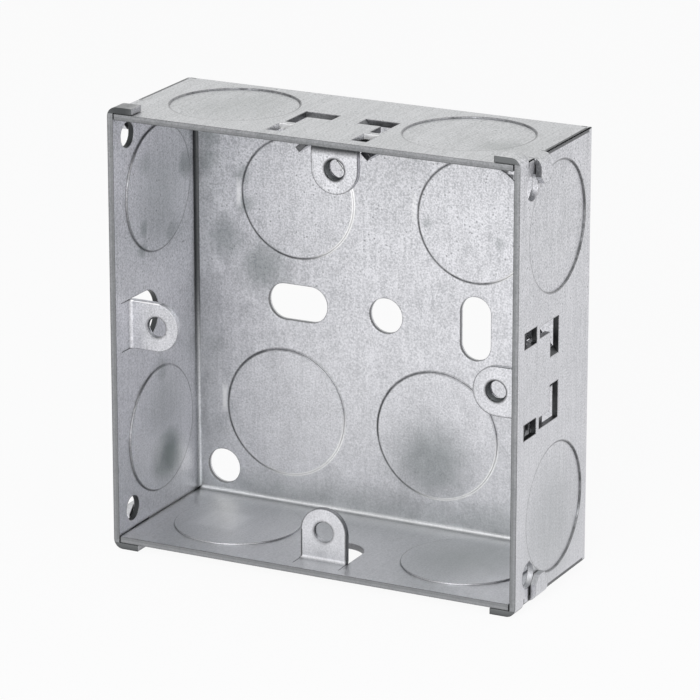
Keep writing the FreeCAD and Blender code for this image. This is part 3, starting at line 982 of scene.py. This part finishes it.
def painted_floor(white):
    """Matt white paint that takes a soft shadow and otherwise meets the white surroundings."""
    material, tree = new_material("Matt white floor paint")
    paint = add_node(tree, "ShaderNodeBsdfDiffuse", {"Color": (*to_linear("F4F4F4"), 1)})
    glow = add_node(
        tree, "ShaderNodeEmission", {"Color": (*to_linear("FFFFFF"), 1), "Strength": 1.0})
    share = add_node(
        tree, "ShaderNodeMath", {"operation": "MULTIPLY", 1: white}, i0=seen_directly(tree))
    choice = add_node(
        tree, "ShaderNodeMixShader", i0=share.outputs["Value"], i1=paint.outputs["BSDF"],
        i2=glow.outputs["Emission"])
    add_node(tree, "ShaderNodeOutputMaterial", Surface=choice.outputs["Shader"])
    return material


# Where the lamps stand: azimuth from straight in front to the right, and elevation, in degrees.
KEY_PLACE = (8, 16)
FILL_PLACE = (76, 24)


def direction(azimuth, elevation):
    """Unit vector from the box towards a place round it; azimuth 0 is straight in front."""
    flat = math.cos(elevation)
    return Vector((math.sin(azimuth) * flat, -math.cos(azimuth) * flat, math.sin(elevation)))


def add_lamp(name, place, power, stage):
    """A square soft lamp aimed at the box."""
    lamp = bpy.data.lights.new(name, "AREA")
    lamp.size = stage.lamp_side
    lamp.energy = power
    holder = bpy.data.objects.new(name, lamp)
    away = direction(*(math.radians(angle) for angle in place))
    holder.location = away * stage.lamp_distance
    holder.rotation_euler = (-away).to_track_quat("-Z", "Y").to_euler()
    bpy.context.scene.collection.objects.link(holder)


class BACKBOX_OT_stage(bpy.types.Operator):
    """Lays the floor, sets the lamps and places the camera."""

    bl_idname = "backbox.stage"
    bl_label = "Stage"

    def execute(self, context):
        scene = context.scene
        stage = scene.backbox_stage
        scene.view_settings.view_transform = "Standard"
        white_surroundings(stage.soft_light)
        half = stage.floor_width / 2
        mesh = bpy.data.meshes.new("floor")
        corners = [(-half, -half, 0), (half, -half, 0), (half, half, 0), (-half, half, 0)]
        mesh.from_pydata(corners, [], [(0, 1, 2, 3)])
        mesh.materials.append(painted_floor(stage.floor_white))
        floor = bpy.data.objects.new("floor", mesh)
        floor.location.z = FLOOR_LEVEL
        scene.collection.objects.link(floor)
        add_lamp("key_lamp", KEY_PLACE, stage.key_power, stage)
        add_lamp("fill_lamp", FILL_PLACE, stage.fill_power, stage)
        camera = bpy.data.objects.new("camera", bpy.data.cameras.new("camera"))
        away = direction(stage.azimuth, stage.elevation)
        camera.location = Vector(stage.aim) + away * stage.distance
        camera.rotation_euler = (-away).to_track_quat("-Z", "Y").to_euler()
        camera.data.lens = stage.lens
        camera.data.clip_end = 10 * stage.distance
        scene.collection.objects.link(camera)
        scene.camera = camera
        return {"FINISHED"}


class BACKBOX_PT_panel(bpy.types.Panel):
    """Lists the steps that dress the back box."""

    bl_idname = "BACKBOX_PT_panel"
    bl_label = "Flush back box"
    bl_space_type = "VIEW_3D"
    bl_region_type = "UI"
    bl_category = "Back box"

    def draw(self, context):
        column = self.layout.column()
        for operator in OPERATORS:
            column.operator(operator.bl_idname)


OPERATORS = (
    BACKBOX_OT_box_body,
    BACKBOX_OT_sliding_lugs,
    BACKBOX_OT_screw_threads,
    BACKBOX_OT_stage,
)
CLASSES = (
    SheetFinish,
    KnockoutPlaces,
    ThreadSizes,
    StageSettings,
    *OPERATORS,
    BACKBOX_PT_panel,
)


def register():
    for cls in CLASSES:
        bpy.utils.register_class(cls)
    bpy.types.Scene.backbox_finish = PointerProperty(type=SheetFinish)
    bpy.types.Scene.backbox_knockouts = PointerProperty(type=KnockoutPlaces)
    bpy.types.Scene.backbox_thread = PointerProperty(type=ThreadSizes)
    bpy.types.Scene.backbox_stage = PointerProperty(type=StageSettings)


def unregister():
    del bpy.types.Scene.backbox_stage
    del bpy.types.Scene.backbox_thread
    del bpy.types.Scene.backbox_knockouts
    del bpy.types.Scene.backbox_finish
    for cls in reversed(CLASSES):
        bpy.utils.unregister_class(cls)


def main():
    register()
    bpy.ops.backbox.box_body()
    bpy.ops.backbox.sliding_lugs()
    bpy.ops.backbox.screw_threads()
    bpy.ops.backbox.stage()


if __name__ == "__main__":
    main()
